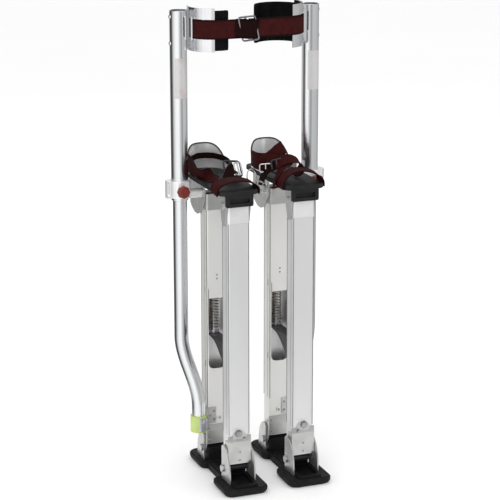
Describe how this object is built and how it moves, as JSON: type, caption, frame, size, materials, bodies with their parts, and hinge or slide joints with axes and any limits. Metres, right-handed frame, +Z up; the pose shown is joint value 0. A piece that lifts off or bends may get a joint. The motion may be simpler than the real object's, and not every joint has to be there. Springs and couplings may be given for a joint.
{
  "type": "drywall stilts",
  "caption": "Pair of height-adjustable work stilts with sprung twin struts, rubber soles, strapped foot plates and calf bands buckled together.",
  "frame": {"origin": "middle of the pair's box on the floor", "axes": "+Z up, toes towards -Y, the wearer's left stilt at +X"},
  "size_m": [0.337, 0.27, 0.951],
  "materials": {
    "aluminium": "satin polished",
    "brushed_panel": "fine brushed anodised",
    "zinc_steel": "zinc plated",
    "spring_steel": "oiled spring wire",
    "black_rubber": "moulded matt rubber",
    "black_plastic": "moulded nylon",
    "black_foam": "fabric-faced foam",
    "burgundy_webbing": "woven webbing",
    "red_plastic": "moulded",
    "green_nylon": "moulded nylon"
  },
  "bodies": {
    "root": {"right_sole": "black_rubber", "right_floor_plate": "aluminium", "right_toe_axle": "zinc_steel", "right_heel_axle": "zinc_steel", "left_sole": "black_rubber", "left_floor_plate": "aluminium", "left_toe_axle": "zinc_steel", "left_heel_axle": "zinc_steel"},
    "right_front_lower": {"right_front_outer_strut": "brushed_panel", "right_front_lower_block": "aluminium", "right_spring_arm": "black_plastic"},
    "right_rear_lower": {"right_rear_outer_strut": "brushed_panel", "right_rear_lower_block": "aluminium", "right_spring": "spring_steel", "right_tube_bracket": "zinc_steel", "right_tube_bushing": "green_nylon", "right_lower_leg_tube": "aluminium"},
    "right_spring_slider": {"right_spring_rod": "zinc_steel"},
    "right_front_upper": {"right_front_inner_strut": "aluminium", "right_front_upper_bracket": "aluminium"},
    "right_rear_upper": {"right_rear_inner_strut": "aluminium", "right_rear_upper_bracket": "aluminium", "right_tube_clamp": "aluminium"},
    "right_clamp_knob": {"right_clamp_knob": "red_plastic"},
    "right_foot": {"right_foot_frame": "aluminium", "right_foot_mat": "black_rubber", "right_heel_cup": "aluminium", "right_toe_strap": "burgundy_webbing", "right_ankle_strap": "burgundy_webbing"},
    "right_leg_tube": {"right_upper_leg_tube": "aluminium", "right_calf_band": "aluminium", "right_calf_pad": "black_foam", "right_calf_strap": "burgundy_webbing", "calf_buckle": "zinc_steel"},
    "left_front_lower": {"left_front_outer_strut": "brushed_panel", "left_front_lower_block": "aluminium", "left_spring_arm": "black_plastic"},
    "left_rear_lower": {"left_rear_outer_strut": "brushed_panel", "left_rear_lower_block": "aluminium", "left_spring": "spring_steel", "left_tube_bracket": "zinc_steel", "left_tube_bushing": "green_nylon", "left_lower_leg_tube": "aluminium"},
    "left_spring_slider": {"left_spring_rod": "zinc_steel"},
    "left_front_upper": {"left_front_inner_strut": "aluminium", "left_front_upper_bracket": "aluminium"},
    "left_rear_upper": {"left_rear_inner_strut": "aluminium", "left_rear_upper_bracket": "aluminium", "left_tube_clamp": "aluminium"},
    "left_clamp_knob": {"left_clamp_knob": "red_plastic"},
    "left_foot": {"left_foot_frame": "aluminium", "left_foot_mat": "black_rubber", "left_heel_cup": "aluminium", "left_toe_strap": "burgundy_webbing", "left_ankle_strap": "burgundy_webbing"},
    "left_leg_tube": {"left_upper_leg_tube": "aluminium", "left_calf_band": "aluminium", "left_calf_pad": "black_foam", "left_calf_strap": "burgundy_webbing"}
  },
  "joints": [
    {"name": "right_rear_flex", "type": "hinge", "parent": "root", "child": "right_rear_lower", "pos_m": [-0.0685, 0.062, 0.038], "axis": [1, 0, 0], "range_deg": [-10, 14], "stiffness_Nm_per_rad": 110},
    {"name": "right_front_flex", "type": "hinge", "parent": "root", "child": "right_front_lower", "pos_m": [-0.0685, -0.062, 0.038], "axis": [1, 0, 0], "range_deg": [-10, 14]},
    {"name": "right_spring_slide", "type": "slide", "parent": "right_rear_lower", "child": "right_spring_slider", "axis": [0, 0, 1], "range_m": [-0.0225, 0.031], "deforming": ["right_spring"]},
    {"name": "right_rear_height", "type": "slide", "parent": "right_rear_lower", "child": "right_rear_upper", "axis": [0, 0, 1], "range_m": [0, 0.33]},
    {"name": "right_front_height", "type": "slide", "parent": "right_front_lower", "child": "right_front_upper", "axis": [0, 0, 1], "range_m": [0, 0.33]},
    {"name": "right_foot_pivot", "type": "hinge", "parent": "right_rear_upper", "child": "right_foot", "pos_m": [-0.0685, 0.062, 0.579], "axis": [1, 0, 0], "range_deg": [-14.5, 10.5]},
    {"name": "right_clamp_knob_turn", "type": "hinge", "parent": "right_rear_upper", "child": "right_clamp_knob", "pos_m": [-0.143, 0.036, 0.5905], "axis": [0, -1, 0], "range_deg": [0, 540]},
    {"name": "right_calf_height", "type": "slide", "parent": "right_rear_upper", "child": "right_leg_tube", "axis": [0, 0, 1], "range_m": [-0.1, 0]},
    {"name": "left_rear_flex", "type": "hinge", "parent": "root", "child": "left_rear_lower", "pos_m": [0.0685, 0.062, 0.038], "axis": [1, 0, 0], "range_deg": [-10, 14], "stiffness_Nm_per_rad": 110},
    {"name": "left_front_flex", "type": "hinge", "parent": "root", "child": "left_front_lower", "pos_m": [0.0685, -0.062, 0.038], "axis": [1, 0, 0], "range_deg": [-10, 14]},
    {"name": "left_spring_slide", "type": "slide", "parent": "left_rear_lower", "child": "left_spring_slider", "axis": [0, 0, 1], "range_m": [-0.0225, 0.031], "deforming": ["left_spring"]},
    {"name": "left_rear_height", "type": "slide", "parent": "left_rear_lower", "child": "left_rear_upper", "axis": [0, 0, 1], "range_m": [0, 0.33]},
    {"name": "left_front_height", "type": "slide", "parent": "left_front_lower", "child": "left_front_upper", "axis": [0, 0, 1], "range_m": [0, 0.33]},
    {"name": "left_foot_pivot", "type": "hinge", "parent": "left_rear_upper", "child": "left_foot", "pos_m": [0.0685, 0.062, 0.579], "axis": [1, 0, 0], "range_deg": [-14.5, 10.5]},
    {"name": "left_clamp_knob_turn", "type": "hinge", "parent": "left_rear_upper", "child": "left_clamp_knob", "pos_m": [0.143, 0.036, 0.5905], "axis": [0, -1, 0], "range_deg": [0, 540]},
    {"name": "left_calf_height", "type": "slide", "parent": "left_rear_upper", "child": "left_leg_tube", "axis": [0, 0, 1], "range_m": [-0.1, 0]}
  ],
  "couplings": [
    {"joint": "right_front_flex", "follows": "right_rear_flex", "ratio": 1},
    {"joint": "right_spring_slide", "follows": "right_rear_flex", "m_per_rad": 0.124},
    {"joint": "right_foot_pivot", "follows": "right_rear_flex", "ratio": -1},
    {"joint": "right_front_height", "follows": "right_rear_height", "ratio": 1},
    {"joint": "left_rear_flex", "follows": "right_rear_flex", "ratio": 1},
    {"joint": "left_rear_height", "follows": "right_rear_height", "ratio": 1},
    {"joint": "left_calf_height", "follows": "right_calf_height", "ratio": 1},
    {"joint": "left_front_flex", "follows": "right_rear_flex", "ratio": 1},
    {"joint": "left_spring_slide", "follows": "right_rear_flex", "m_per_rad": 0.124},
    {"joint": "left_foot_pivot", "follows": "right_rear_flex", "ratio": -1},
    {"joint": "left_front_height", "follows": "right_rear_height", "ratio": 1}
  ]
}
